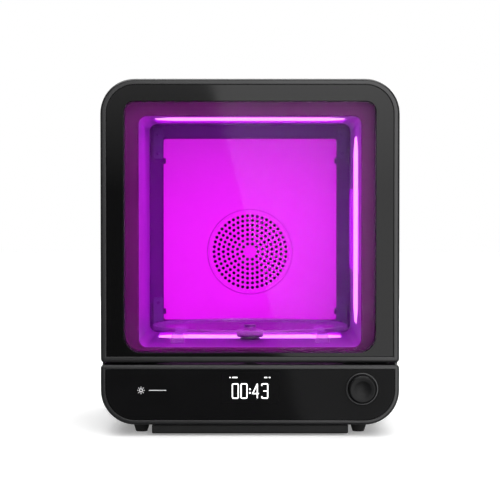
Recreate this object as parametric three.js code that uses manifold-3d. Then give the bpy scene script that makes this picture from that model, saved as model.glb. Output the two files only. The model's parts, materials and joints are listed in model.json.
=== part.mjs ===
// UV curing station for resin prints: a cabinet with a lit chamber, a powered turntable,
// a side-hinged window door and a control unit with a push-and-turn knob.
// Millimetres, +Z up, the door faces -Y, the origin is the middle of the whole box's underside.

import * as THREE from "three";
import { mergeVertices } from "three/addons/utils/BufferGeometryUtils.js";
import Module from "manifold-3d";

const wasm = await Module();
wasm.setup();

// ---------------------------------------------------------------- driving dimensions

const GAP = 0.3; // air between pieces that touch
const WIDTH = 285;
const DEPTH = 312;
const HEIGHT = 341;
const FOOT_HEIGHT = 11;
const CORNER_RADIUS = 33;
const SHELL_WALL = 2.5;
const KNOB_REACH = 11; // in front of the door and the fascia
const INLET_LIP = 0.3; // behind the cabinet

const frontY = (KNOB_REACH - DEPTH - INLET_LIP) / 2;
const rearY = frontY + DEPTH;
const bodyMidY = (frontY + rearY) / 2;
const halfWidth = WIDTH / 2;

const DOOR_THICKNESS = 22;
const DOOR_BOTTOM = 70.5;
const DOOR_GAP = 2.3; // between the door's back and the front frame
const doorBackY = frontY + DOOR_THICKNESS;
const frameFrontY = doorBackY + DOOR_GAP;
const FRAME_THICKNESS = 4;
const frameBackY = frameFrontY + FRAME_THICKNESS;

const HINGE_INSET = 9; // from the door's side and from its back to the pin
const hinge = { x: -halfWidth + HINGE_INSET, y: doorBackY - HINGE_INSET };
const HINGE_HEIGHTS = { lower: 96, upper: 300 };
const HINGE_ARM_HALF = 5;
const HINGE_ARM_THICKNESS = 3;
const HINGE_PIN_RADIUS = 2;
const HINGE_PIN_REACH = 9;

const CHAMBER = { half: 107.4, bottom: 83.3, top: 306.3, radius: 8, depth: 215 };
const LINER_WALL = 2;
const chamberFrontY = frameBackY + GAP;
const chamberBackY = chamberFrontY + CHAMBER.depth - LINER_WALL;
const chamberMidY = (frameFrontY + chamberBackY) / 2;
const chamberMidZ = (CHAMBER.bottom + CHAMBER.top) / 2;

const FAN_HEIGHT = 169.6; // of the circulation fan's axis
const GRILLE_RADIUS = 45.6;

const TURNTABLE_RADIUS = 99;
const TURNTABLE_BOTTOM = 94;
const SHAFT_RADIUS = 4;

const CHIN_TOP = 68.5; // of the control unit under the door
const CHIN_RIM = 4.3;
const CONTROL_HEIGHT = 45.4; // of the knob's axis
const KNOB_X = 107;
const KNOB_RADIUS = 13.5;

const REAR_COVER_THICKNESS = 3.7;
const shellBackY = rearY - 6;
const coverFrontY = shellBackY + GAP;
const coverBackY = coverFrontY + REAR_COVER_THICKNESS;
const COOLING_FAN = { x: -70, z: 262, half: 30 };
const INLET = { x: 96, z: 44 };
const SWITCH = { x: 52, z: 44 };

// ---------------------------------------------------------------- finishes

const finish = (colour, roughness, metalness) => ({ colour, roughness, metalness });
const PAINTED = finish("#3c3d40", 0.45, 0.3);
const BLACK_PLASTIC = finish("#1b1b1d", 0.5, 0);
const GLOSS_BLACK = finish("#0c0c0d", 0.08, 0);
const PURPLE_LIT = finish("#b409d2", 0.35, 0.2);
const REFLECTOR = finish("#d50cf0", 0.25, 0.3);
const LIGHT_WINDOW = finish("#fa90fe", 0.2, 0);
const CLEAR = finish("#a9a4c4", 0.05, 0);
const STEEL = finish("#a8a9ac", 0.3, 1);
const ALUMINIUM = finish("#c2c3c6", 0.35, 1);
const RUBBER = finish("#161617", 0.85, 0);
const BOARD = finish("#14532d", 0.6, 0);
const BRASS = finish("#b08d3c", 0.35, 1);

// ---------------------------------------------------------------- solid helpers

const object = new THREE.Group();

function toSolid(geometry) {
  geometry.deleteAttribute("normal");
  geometry.deleteAttribute("uv");
  const merged = mergeVertices(geometry, 1e-4);
  return new wasm.Manifold(new wasm.Mesh({
    numProp: 3,
    vertProperties: new Float32Array(merged.attributes.position.array),
    triVerts: new Uint32Array(merged.index.array),
  }));
}

function add(name, solid, { colour, roughness, metalness }, group = object) {
  const result = solid.getMesh();
  const geometry = new THREE.BufferGeometry();
  geometry.setAttribute("position", new THREE.BufferAttribute(new Float32Array(result.vertProperties), 3));
  geometry.setIndex(new THREE.BufferAttribute(new Uint32Array(result.triVerts), 1));
  geometry.computeVertexNormals();
  const mesh = new THREE.Mesh(geometry, new THREE.MeshStandardMaterial({ color: colour, roughness, metalness }));
  mesh.name = name;
  group.add(mesh);
}

const join = (...solids) => solids.reduce((whole, solid) => whole.add(solid));
const cut = (whole, ...tools) => tools.reduce((left, tool) => left.subtract(tool), whole);

// Box between two opposite corners.
function block([x0, y0, z0], [x1, y1, z1]) {
  const geometry = new THREE.BoxGeometry(x1 - x0, y1 - y0, z1 - z0);
  geometry.translate((x0 + x1) / 2, (y0 + y1) / 2, (z0 + z1) / 2);
  return toSolid(geometry);
}

// Round bar along an axis; across gives its centre's other two coordinates in X, Y, Z order.
function rod(axis, across, radius, from, to, { sides = 24, endRadius = radius } = {}) {
  const geometry = new THREE.CylinderGeometry(endRadius, radius, to - from, sides);
  const middle = (from + to) / 2;
  if (axis === "x") {
    geometry.rotateZ(-Math.PI / 2);
    geometry.translate(middle, ...across);
  } else if (axis === "y") {
    geometry.translate(across[0], middle, across[1]);
  } else {
    geometry.rotateX(Math.PI / 2);
    geometry.translate(...across, middle);
  }
  return toSolid(geometry);
}

// Rounded rectangle in X and Z, with one radius for its top corners and one for its bottom ones.
function panelShape({ left, right, bottom, top, topRadius, bottomRadius = topRadius }) {
  const shape = new THREE.Shape();
  shape.moveTo(left + bottomRadius, bottom);
  shape.lineTo(right - bottomRadius, bottom);
  shape.absarc(right - bottomRadius, bottom + bottomRadius, bottomRadius, -Math.PI / 2, 0);
  shape.lineTo(right, top - topRadius);
  shape.absarc(right - topRadius, top - topRadius, topRadius, 0, Math.PI / 2);
  shape.lineTo(left + topRadius, top);
  shape.absarc(left + topRadius, top - topRadius, topRadius, Math.PI / 2, Math.PI);
  shape.lineTo(left, bottom + bottomRadius);
  shape.absarc(left + bottomRadius, bottom + bottomRadius, bottomRadius, Math.PI, 1.5 * Math.PI);
  return shape;
}

// The same outline, smaller by one margin all round.
function inset(outline, margin) {
  const { left, right, bottom, top, topRadius, bottomRadius = topRadius } = outline;
  return {
    left: left + margin,
    right: right - margin,
    bottom: bottom + margin,
    top: top - margin,
    topRadius: Math.max(topRadius - margin, 0.6),
    bottomRadius: Math.max(bottomRadius - margin, 0.6),
  };
}

// Upright plate of a panel outline between two Y planes.
function plate(outline, y0, y1, curveSegments = 3) {
  const geometry = new THREE.ExtrudeGeometry(panelShape(outline), {
    depth: y1 - y0,
    bevelEnabled: false,
    curveSegments,
  });
  geometry.rotateX(Math.PI / 2);
  geometry.translate(0, y1, 0);
  return toSolid(geometry);
}

const centred = (x, z, width, height, radius) => ({
  left: x - width / 2,
  right: x + width / 2,
  bottom: z - height / 2,
  top: z + height / 2,
  topRadius: radius,
});

// Upright ring between two panel outlines.
const ringPlate = (outer, inner, y0, y1, curveSegments = 3) =>
  cut(plate(outer, y0, y1, curveSegments), plate(inner, y0 - 1, y1 + 1, curveSegments));

// ---------------------------------------------------------------- cabinet

const bodyOutline = {
  left: -halfWidth,
  right: halfWidth,
  bottom: FOOT_HEIGHT,
  top: HEIGHT,
  topRadius: CORNER_RADIUS,
};
const chamberOutline = {
  left: -CHAMBER.half,
  right: CHAMBER.half,
  bottom: CHAMBER.bottom,
  top: CHAMBER.top,
  topRadius: CHAMBER.radius,
};

const hingePlates = Object.entries(HINGE_HEIGHTS);
const MAGNET = { x: 134, z: 206, width: 6, height: 40 };

function addShell() {
  const shell = ringPlate(bodyOutline, inset(bodyOutline, SHELL_WALL), frameFrontY, shellBackY, 4);
  add("outer_shell", shell, PAINTED);

  const PAN = { inset: 48.5, reach: 150, bottom: 2 };
  const pan = block(
    [-halfWidth + PAN.inset, bodyMidY - PAN.reach, PAN.bottom],
    [halfWidth - PAN.inset, bodyMidY + PAN.reach, FOOT_HEIGHT - GAP],
  );
  add("base_pan", pan, BLACK_PLASTIC);

  const FOOT = { x: 105.7, reach: 112, top: 8.5, bottom: 5.6 };
  let number = 1;
  for (const y of [bodyMidY - FOOT.reach, bodyMidY + FOOT.reach]) {
    for (const x of [-FOOT.x, FOOT.x]) {
      const foot = rod("z", [x, y], FOOT.bottom, 0, FOOT_HEIGHT - GAP, { endRadius: FOOT.top });
      add(`foot_${number}`, foot, RUBBER);
      number += 1;
    }
  }
}

function ventSlots(x, z, width, count, pitch, y0, y1) {
  const SLOT_HEIGHT = 4;
  const slots = [];
  for (let i = 0; i < count; i += 1) {
    const height = z + (i - (count - 1) / 2) * pitch;
    slots.push(plate(centred(x, height, width, SLOT_HEIGHT, SLOT_HEIGHT / 2 - 0.01), y0, y1, 2));
  }
  return slots;
}

function addRearCover() {
  const reach = [coverFrontY - 1, coverBackY + 1];
  const cover = cut(
    plate(bodyOutline, coverFrontY, coverBackY, 4),
    plate(centred(INLET.x, INLET.z, 28, 22, 1), ...reach, 1),
    plate(centred(SWITCH.x, SWITCH.z, 13.4, 19.4, 1), ...reach, 1),
    ...ventSlots(COOLING_FAN.x, COOLING_FAN.z, 46, 6, 8, ...reach),
    ...ventSlots(70, 100, 90, 5, 9, ...reach),
  );
  add("rear_cover", cover, PAINTED);
}

function addFrontFrame() {
  const outline = inset(bodyOutline, SHELL_WALL + GAP);
  outline.bottom = DOOR_BOTTOM + GAP;
  outline.bottomRadius = 1;
  const armSlots = hingePlates.map(([, z]) => block(
    [hinge.x - HINGE_ARM_HALF - GAP, frameFrontY - 1, z - HINGE_ARM_THICKNESS / 2 - GAP],
    [hinge.x + HINGE_ARM_HALF + GAP, frameBackY + 1, z + HINGE_ARM_THICKNESS / 2 + GAP],
  ));
  const { x, z, width, height } = MAGNET;
  const pocket = plate(
    centred(x, z, width + 2 * GAP, height + 2 * GAP, 0.6),
    frameFrontY - 1,
    frameBackY + 1,
    1,
  );
  const frame = cut(ringPlate(outline, chamberOutline, frameFrontY, frameBackY, 4), pocket, ...armSlots);
  add("front_frame", frame, PURPLE_LIT);

  const magnet = plate(centred(x, z, width, height, 0.6), frameFrontY - GAP, frameBackY + 1.5, 1);
  add("latch_magnet", magnet, STEEL);

  const sensor = block([126, frameBackY + GAP, 120], [138, frameBackY + 8, 142]);
  add("door_sensor", sensor, BLACK_PLASTIC);

  const SEAL_DEPTH = 1.7;
  const sealOuter = { left: -127.5, right: 127.5, bottom: 73, top: 326, topRadius: 14 };
  const seal = ringPlate(sealOuter, inset(sealOuter, 4.5), frameFrontY - GAP - SEAL_DEPTH, frameFrontY - GAP);
  add("chamber_gasket", seal, RUBBER);
}

// Each arm is fixed behind the front frame and carries one upright pin for the door.
function addHingeArms() {
  for (const [name, z] of hingePlates) {
    const half = HINGE_ARM_THICKNESS / 2;
    const arm = join(
      block([hinge.x - HINGE_ARM_HALF, hinge.y, z - half], [hinge.x + HINGE_ARM_HALF, frameBackY + 2, z + half]),
      rod("z", [hinge.x, hinge.y], HINGE_ARM_HALF, z - half, z + half),
      rod("z", [hinge.x, hinge.y], HINGE_PIN_RADIUS, z - HINGE_PIN_REACH, z + HINGE_PIN_REACH, { sides: 16 }),
      block(
        [hinge.x - HINGE_ARM_HALF, frameBackY + GAP, z - 8],
        [hinge.x + HINGE_ARM_HALF, frameBackY + 2, z + 8],
      ),
    );
    add(`hinge_arm_${name}`, arm, STEEL);
  }
}

// ---------------------------------------------------------------- chamber

// A lens let into a chamber wall, its board of lamps and, where there is room, a heat sink.
// The unit lies in its own X and Y, with its inner face at Z 0 and +Z pointing out of the chamber.
const LAMP_LENGTH = 190;
const lampUnits = [
  { name: "top", width: 84, sink: true, place: [0, chamberMidY - 29, CHAMBER.top], turn: [0, 0, 0] },
  {
    name: "side",
    width: 84,
    sink: true,
    place: [CHAMBER.half, chamberMidY - 3, chamberMidZ],
    turn: [0, Math.PI / 2, 0],
  },
  { name: "floor", width: 56, sink: false, place: [0, chamberMidY + 42, CHAMBER.bottom], turn: [Math.PI, 0, 0] },
];

function lensSolid(width, margin, z0, z1) {
  const END_TAPER = 16;
  const halfLength = LAMP_LENGTH / 2 - margin;
  const half = width / 2 - margin;
  const shape = new THREE.Shape();
  shape.moveTo(-halfLength, -half / 2);
  shape.lineTo(-halfLength + END_TAPER, -half);
  shape.lineTo(halfLength - END_TAPER, -half);
  shape.lineTo(halfLength, -half / 2);
  shape.lineTo(halfLength, half / 2);
  shape.lineTo(halfLength - END_TAPER, half);
  shape.lineTo(-halfLength + END_TAPER, half);
  shape.lineTo(-halfLength, half / 2);
  const geometry = new THREE.ExtrudeGeometry(shape, { depth: z1 - z0, bevelEnabled: false });
  geometry.translate(0, 0, z0);
  return toSolid(geometry);
}

function lampBoard(width) {
  const BOARD_LIFT = 7.5;
  const LAMP = { size: 4, height: 1.5, columns: 6, rows: 2 };
  const board = block([-85, -width / 2 + 8, BOARD_LIFT], [85, width / 2 - 8, BOARD_LIFT + 1.6]);
  const lamps = [];
  for (let column = 0; column < LAMP.columns; column += 1) {
    for (let row = 0; row < LAMP.rows; row += 1) {
      const x = (column - (LAMP.columns - 1) / 2) * 28;
      const y = (row - (LAMP.rows - 1) / 2) * (width / 2 - 8);
      lamps.push(block(
        [x - LAMP.size / 2, y - LAMP.size / 2, BOARD_LIFT - LAMP.height],
        [x + LAMP.size / 2, y + LAMP.size / 2, BOARD_LIFT + 0.5],
      ));
    }
  }
  return join(board, ...lamps);
}

function lampSink(width) {
  const BASE = 9.4;
  const FINS = 7;
  const half = width / 2 - 8;
  const fins = [];
  for (let i = 0; i < FINS; i += 1) {
    const y = -half + 1 + i * ((2 * half - 2) / (FINS - 1));
    fins.push(block([-85, y - 1, BASE + 2], [85, y + 1, BASE + 12]));
  }
  return join(block([-85, -half, BASE], [85, half, BASE + 2.5]), ...fins);
}

function lampOpening({ width, place, turn }) {
  const matrix = new THREE.Matrix4();
  matrix.makeRotationFromEuler(new THREE.Euler(...turn));
  matrix.setPosition(...place);
  return lensSolid(width, 0, -1, LINER_WALL + 1).transform(matrix.elements);
}

function addLampUnits() {
  for (const { name, width, sink, place, turn } of lampUnits) {
    const unit = new THREE.Group();
    unit.position.set(...place);
    unit.rotation.set(...turn);
    object.add(unit);
    add(`light_window_${name}`, lensSolid(width, GAP, 0, LINER_WALL), LIGHT_WINDOW, unit);
    add(`led_board_${name}`, lampBoard(width), BOARD, unit);
    if (sink) {
      add(`heat_sink_${name}`, lampSink(width), ALUMINIUM, unit);
    }
  }
}

function addLiner() {
  const outer = inset(chamberOutline, -LINER_WALL);
  const liner = cut(
    ringPlate(outer, chamberOutline, chamberFrontY, chamberBackY),
    rod("z", [0, chamberMidY], 7.8, CHAMBER.bottom - LINER_WALL - 1, CHAMBER.bottom + 1),
    ...lampUnits.map(lampOpening),
  );
  add("chamber_liner", liner, PURPLE_LIT);

  const FAN_HOLE_RADIUS = 42;
  const backWall = cut(
    plate(outer, chamberBackY + GAP, chamberBackY + LINER_WALL),
    rod("y", [0, FAN_HEIGHT], FAN_HOLE_RADIUS, chamberBackY - 1, chamberBackY + LINER_WALL + 1),
  );
  add("chamber_back", backWall, PURPLE_LIT);
}

const reflectorOutline = { left: -92.6, right: 92.6, bottom: 96.7, top: 290.5, topRadius: 3 };

function addBackWall() {
  const y0 = chamberBackY - 2;
  const y1 = chamberBackY - GAP;
  const CLIP_INSET_TOP = 23.7;
  const CLIP_INSET_BOTTOM = 9;
  const clips = [];
  for (const side of [-1, 1]) {
    for (const z of [reflectorOutline.top - CLIP_INSET_TOP, reflectorOutline.bottom + CLIP_INSET_BOTTOM]) {
      const x = side * reflectorOutline.right;
      clips.push(block([x - 2.5, y0 - 1, z - 3], [x + 2.5, y1 + 1, z + 3]));
    }
  }
  const reflector = cut(
    plate(reflectorOutline, y0, y1, 1),
    rod("y", [0, FAN_HEIGHT], GRILLE_RADIUS + GAP, y0 - 1, y1 + 1, { sides: 40 }),
    ...clips,
  );
  add("rear_reflector", reflector, REFLECTOR);

  const HOLE_RINGS = [{ r: 13.6, count: 10 }, { r: 23.6, count: 18 }, { r: 33.6, count: 26 }];
  const holes = HOLE_RINGS.flatMap(({ r, count }) =>
    Array.from({ length: count }, (_, i) => {
      const angle = (2 * Math.PI * i) / count;
      const centre = [r * Math.cos(angle), FAN_HEIGHT + r * Math.sin(angle)];
      return rod("y", centre, 2.8, y0 - 2, y1 + 1, { sides: 6 });
    }));
  const grille = cut(rod("y", [0, FAN_HEIGHT], GRILLE_RADIUS, y0 - 0.6, y1, { sides: 40 }), ...holes);
  add("fan_grille", grille, REFLECTOR);

  const BRACKET = { x: 98.2, width: 10.8, height: 32.6, edge: 21.2 };
  let number = 1;
  for (const z of [CHAMBER.top - BRACKET.edge, CHAMBER.bottom + BRACKET.edge]) {
    for (const side of [-1, 1]) {
      const outline = centred(side * (BRACKET.x + GAP), z, BRACKET.width, BRACKET.height, 3);
      add(`corner_bracket_${number}`, plate(outline, y0, y1, 2), PURPLE_LIT);
      number += 1;
    }
  }
}

// ---------------------------------------------------------------- turntable

function addTurntable() {
  const axis = [0, chamberMidY];
  const DISC_THICKNESS = 3;
  const RIM_WIDTH = 3.2;
  const RIM_HEIGHT = 2;
  const HUB_RADIUS = 13.5;
  const SPIGOT_RADIUS = 6;
  const top = TURNTABLE_BOTTOM + DISC_THICKNESS;

  const disc = cut(
    rod("z", axis, TURNTABLE_RADIUS, TURNTABLE_BOTTOM, top + RIM_HEIGHT, { sides: 64 }),
    rod("z", axis, TURNTABLE_RADIUS - RIM_WIDTH, top, top + RIM_HEIGHT + 1, { sides: 64 }),
    rod("z", axis, SPIGOT_RADIUS + GAP, TURNTABLE_BOTTOM - 1, top + 1),
  );
  add("turntable_disc", disc, CLEAR);

  const hubBottom = CHAMBER.bottom + 2.7;
  const shaftTop = TURNTABLE_BOTTOM - 2;
  const hub = cut(
    join(
      rod("z", axis, HUB_RADIUS, hubBottom, TURNTABLE_BOTTOM - GAP),
      rod("z", axis, SPIGOT_RADIUS, TURNTABLE_BOTTOM - 1, top + 1.2),
    ),
    rod("z", axis, SHAFT_RADIUS + GAP, hubBottom - 1, shaftTop + GAP),
  );
  add("drive_hub", hub, ALUMINIUM);

  const SHAFT_BOTTOM = 50;
  add("drive_shaft", rod("z", axis, SHAFT_RADIUS, SHAFT_BOTTOM, shaftTop), STEEL);

  const bush = cut(
    join(
      rod("z", axis, 10, CHAMBER.bottom + GAP, CHAMBER.bottom + 1.7),
      rod("z", axis, 7.5, CHAMBER.bottom - 5, CHAMBER.bottom + 1),
    ),
    rod("z", axis, SHAFT_RADIUS + GAP, CHAMBER.bottom - 6, CHAMBER.bottom + 3),
  );
  add("shaft_bush", bush, BRASS);

  const GEARBOX_TOP = 60;
  const gearmotor = cut(
    join(
      block([-20, chamberMidY - 20, 42], [20, chamberMidY + 20, GEARBOX_TOP]),
      rod("z", axis, 17, 21, 43),
    ),
    rod("z", axis, SHAFT_RADIUS + GAP, SHAFT_BOTTOM - GAP, GEARBOX_TOP + 1),
  );
  add("turntable_gearmotor", gearmotor, STEEL);

  addSupportPosts();
}

// Four glide posts stand on the chamber floor under the turntable's edge.
function addSupportPosts() {
  const POST = { radius: 91, angle: 0.66, base: 15, top: 10, thickness: 10 };
  const bottom = CHAMBER.bottom + GAP;
  const top = TURNTABLE_BOTTOM - 0.4;
  let number = 1;
  for (const sideY of [-1, 1]) {
    for (const sideX of [-1, 1]) {
      const x = sideX * POST.radius * Math.cos(POST.angle);
      const y = chamberMidY + sideY * POST.radius * Math.sin(POST.angle);
      const shape = new THREE.Shape();
      shape.moveTo(x - POST.base / 2, bottom);
      shape.lineTo(x + POST.base / 2, bottom);
      shape.lineTo(x + POST.top / 2, top);
      shape.lineTo(x - POST.top / 2, top);
      const geometry = new THREE.ExtrudeGeometry(shape, { depth: POST.thickness, bevelEnabled: false });
      geometry.rotateX(Math.PI / 2);
      geometry.translate(0, y + POST.thickness / 2, 0);
      add(`support_post_${number}`, toSolid(geometry), CLEAR);
      number += 1;
    }
  }
}

// ---------------------------------------------------------------- fans and electrics

// Axial fan blowing along Y: a square housing with a motor hub on struts, and its impeller.
function addFan(name, { x, z, half }, y0, depth) {
  const bore = half - 3;
  const hubRadius = half * 0.34;
  const STRUT = 3;
  const y1 = y0 + depth;
  const strutFront = y1 - STRUT;
  const struts = [0, 1, 2].map((i) =>
    block([hubRadius - 1, strutFront, -STRUT / 2], [bore + 1, y1, STRUT / 2])
      .rotate([0, 30 + i * 120, 0])
      .translate([x, 0, z]));
  const housing = join(
    cut(plate(centred(x, z, 2 * half, 2 * half, 5), y0, y1, 1), rod("y", [x, z], bore, y0 - 1, y1 + 1)),
    rod("y", [x, z], hubRadius, strutFront, y1),
    ...struts,
  );
  add(`${name}_fan_housing`, housing, BLACK_PLASTIC);

  const BLADES = 7;
  const BLADE_PITCH = 32;
  const chord = half * 0.4;
  const middle = (y0 + 2 + strutFront - 1) / 2;
  const blade = block([hubRadius - 2, -0.8, -chord / 2], [bore - 1.6, 0.8, chord / 2]).rotate([BLADE_PITCH, 0, 0]);
  const blades = Array.from({ length: BLADES }, (_, i) =>
    blade.rotate([0, (i * 360) / BLADES, 0]).translate([x, middle, z]));
  const hub = rod("y", [x, z], hubRadius, y0 + 2, strutFront - 1);
  add(`${name}_impeller`, join(hub, ...blades), BLACK_PLASTIC);
}

function addHeater() {
  const HALF = 40;
  const y1 = shellBackY - 20;
  const y0 = y1 - 12;
  const SLOTS = 6;
  const pitch = (2 * HALF - 6) / SLOTS;
  const slots = Array.from({ length: SLOTS }, (_, i) => {
    const x = -HALF + 3 + pitch * (i + 0.5);
    return block(
      [x - pitch / 2 + 1.2, y0 - 1, FAN_HEIGHT - HALF + 5],
      [x + pitch / 2 - 1.2, y1 + 1, FAN_HEIGHT + HALF - 5],
    );
  });
  const frame = block([-HALF, y0, FAN_HEIGHT - HALF], [HALF, y1, FAN_HEIGHT + HALF]);
  add("air_heater", cut(frame, ...slots), ALUMINIUM);
}

function addElectrics() {
  const floor = FOOT_HEIGHT + SHELL_WALL + GAP;

  const BOARD_Z = floor + 8;
  const boardBackY = shellBackY - 12;
  const board = block([-44, boardBackY - 70, BOARD_Z], [36, boardBackY, BOARD_Z + 1.6]);
  const chips = [[-30, 56, 14, 5], [0, 50, 18, 8], [22, 18, 10, 12], [-24, 18, 20, 10]].map(
    ([x, behind, size, height]) => block(
      [x - size / 2, boardBackY - behind - size / 2, BOARD_Z + 1],
      [x + size / 2, boardBackY - behind + size / 2, BOARD_Z + height],
    ));
  const standoffs = [[-40, 66], [32, 66], [-40, 4], [32, 4]].map(([x, behind]) =>
    rod("z", [x, boardBackY - behind], 3, floor, BOARD_Z + 0.5, { sides: 12 }));
  add("main_board", join(board, ...chips, ...standoffs), BOARD);

  const SUPPLY_LENGTH = 78;
  const supplyFrontY = boardBackY - SUPPLY_LENGTH;
  const vents = Array.from({ length: 6 }, (_, i) => block(
    [-102, supplyFrontY + 6 + i * 11, floor + 32],
    [-58, supplyFrontY + 11 + i * 11, floor + 40],
  ));
  const supply = cut(block([-108, supplyFrontY, floor], [-52, boardBackY, floor + 36]), ...vents);
  add("power_supply", supply, ALUMINIUM);
}

function addInlet() {
  const { x, z } = INLET;
  const flangeFront = coverBackY + GAP;
  const mouth = rearY + INLET_LIP;
  const CAVITY_DEPTH = 17;
  const cavityBottom = mouth - CAVITY_DEPTH;
  const socket = cut(
    join(
      plate(centred(x, z, 48, 27, 4), flangeFront, mouth, 2),
      plate(centred(x, z, 27, 21, 1), cavityBottom - 6, flangeFront + 0.5, 1),
    ),
    plate(centred(x, z, 24, 16.5, 3), cavityBottom, mouth + 1, 2),
  );
  const pins = [[-7, -2], [0, 2], [7, -2]].map(([across, up]) =>
    block([x + across - 1, cavityBottom - 1, z + up - 2], [x + across + 1, mouth - 4, z + up + 2]));
  add("power_inlet", join(socket, ...pins), BLACK_PLASTIC);
}

// The rocker rests tilted, on its "on" side, and turns about an axis along X.
function addPowerSwitch() {
  const { x, z } = SWITCH;
  const flangeFront = coverBackY + GAP;
  const flangeBack = rearY - 0.2;
  const TILT = 8;
  const ROCKER_DEPTH = 8;
  const body = join(
    plate(centred(x, z, 16, 22, 1), flangeFront, flangeBack, 1),
    plate(centred(x, z, 12.6, 18.6, 1), rearY - 18, flangeFront + 0.5, 1),
  );
  const well = plate(centred(x, z, 10.6, 16.8, 0.6), rearY - 13, flangeBack + 1, 1);
  add("power_switch_frame", cut(body, well), BLACK_PLASTIC);

  const rocker = block([-4.9, -ROCKER_DEPTH / 2, -7.4], [4.9, ROCKER_DEPTH / 2, 7.4])
    .rotate([TILT, 0, 0])
    .translate([x, flangeBack - 4.6, z]);
  add("power_rocker", rocker, BLACK_PLASTIC);
}

// ---------------------------------------------------------------- control unit

const chinOutline = {
  left: -halfWidth,
  right: halfWidth,
  bottom: FOOT_HEIGHT,
  top: CHIN_TOP,
  topRadius: 3.5,
  bottomRadius: CORNER_RADIUS,
};
const FASCIA_DEPTH = 2.7;
const HOUSING_WALL = 2.5;
const fasciaBackY = frontY + FASCIA_DEPTH;
const cavityFrontY = fasciaBackY + HOUSING_WALL;
const DISPLAY = { z: 46.5, width: 56, height: 31 };

function addControlUnit() {
  const knobAxis = [KNOB_X, CONTROL_HEIGHT];
  const chinBackY = frameFrontY - GAP;
  const RING = { outer: 15.4, inner: KNOB_RADIUS + 0.4 };

  const housing = cut(
    plate(chinOutline, frontY, chinBackY, 4),
    plate(inset(chinOutline, CHIN_RIM), frontY - 1, fasciaBackY, 4),
    plate(inset(chinOutline, 3), cavityFrontY, chinBackY + 1, 4),
    plate(centred(0, DISPLAY.z, 48, 28, 1), frontY, cavityFrontY + 1, 1),
    rod("y", knobAxis, 6, frontY, cavityFrontY + 1),
  );
  add("control_housing", housing, PAINTED);

  const fascia = cut(
    plate(inset(chinOutline, CHIN_RIM + GAP), frontY + GAP, fasciaBackY - GAP, 4),
    plate(centred(0, DISPLAY.z, DISPLAY.width, DISPLAY.height, 2), frontY - 1, fasciaBackY, 2),
    rod("y", knobAxis, RING.outer + GAP, frontY - 1, fasciaBackY, { sides: 32 }),
  );
  add("control_panel", fascia, GLOSS_BLACK);

  const lens = plate(
    centred(0, DISPLAY.z, DISPLAY.width - 2 * GAP, DISPLAY.height - 2 * GAP, 1.7),
    frontY + GAP,
    fasciaBackY - GAP,
    2,
  );
  add("display_window", lens, GLOSS_BLACK);

  const display = join(
    block([-22, fasciaBackY, DISPLAY.z - 12], [22, cavityFrontY + 1.5, DISPLAY.z + 12]),
    block([-34, cavityFrontY + 1, DISPLAY.z - 18], [34, cavityFrontY + 2.6, DISPLAY.z + 15]),
  );
  add("display_board", display, BOARD);

  const ring = cut(
    rod("y", knobAxis, RING.outer, frontY - 1, fasciaBackY - GAP, { sides: 32 }),
    rod("y", knobAxis, RING.inner, frontY - 2, fasciaBackY + 1, { sides: 32 }),
  );
  add("knob_trim_ring", ring, STEEL);
  addKnob(knobAxis);
}

function addKnob(knobAxis) {
  const PLUNGER_RADIUS = 3;
  const bore = PLUNGER_RADIUS + GAP;
  const knobFront = frontY - KNOB_REACH;
  const knobBack = frontY - 0.8;
  const plungerFront = knobFront + 4.5;
  const plungerBack = cavityFrontY + 5;

  const encoder = cut(
    join(
      rod("y", knobAxis, 5.7, fasciaBackY, cavityFrontY + 1),
      block([KNOB_X - 8, cavityFrontY + GAP, CONTROL_HEIGHT - 8], [KNOB_X + 8, cavityFrontY + 9, CONTROL_HEIGHT + 8]),
    ),
    rod("y", knobAxis, bore, frontY, plungerBack + 1.8),
  );
  add("encoder_body", encoder, STEEL);
  add("encoder_plunger", rod("y", knobAxis, PLUNGER_RADIUS, plungerFront, plungerBack), BRASS);

  const DISH = { radius: 8.3, depth: 1.4 };
  const EDGE = 0.8;
  const profile = [[0, knobFront + DISH.depth]];
  for (let i = 1; i <= 3; i += 1) {
    const part = i / 3;
    profile.push([DISH.radius * part, knobFront + DISH.depth * (1 - part ** 2)]);
  }
  profile.push(
    [KNOB_RADIUS - EDGE, knobFront],
    [KNOB_RADIUS, knobFront + EDGE],
    [KNOB_RADIUS, knobBack],
    [bore, knobBack],
    [bore, plungerFront - GAP],
    [0, plungerFront - GAP],
  );
  const geometry = new THREE.LatheGeometry(profile.map(([r, y]) => new THREE.Vector2(r, y)), 32);
  geometry.translate(KNOB_X, 0, CONTROL_HEIGHT);
  add("knob", toSolid(geometry), BLACK_PLASTIC);
}

// ---------------------------------------------------------------- door

const doorOutline = {
  left: -halfWidth,
  right: halfWidth,
  bottom: DOOR_BOTTOM,
  top: HEIGHT,
  topRadius: CORNER_RADIUS,
  bottomRadius: 3.5,
};
const windowOutline = { left: -120.2, right: 120.2, bottom: 79.8, top: 319.6, topRadius: 9.5, bottomRadius: 16.5 };
const DOOR_RIM = 5.5;
const PANEL_DEPTH = 3;
const PANE_DEPTH = 3.3;
const PANE_LAP = 3.3; // of the glass behind the panel's edge

// The back edge beside the hinge is rounded about the pin, so it never swings into the cabinet.
function doorBlank() {
  const whole = plate(doorOutline, frontY, doorBackY, 4);
  const corner = block(
    [-halfWidth - 1, hinge.y, DOOR_BOTTOM - 1],
    [hinge.x, doorBackY + 1, HEIGHT + 1],
  );
  const rounded = rod("z", [hinge.x, hinge.y], HINGE_INSET, DOOR_BOTTOM, HEIGHT, { sides: 48 });
  return join(cut(whole, corner), whole.intersect(rounded));
}

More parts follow.
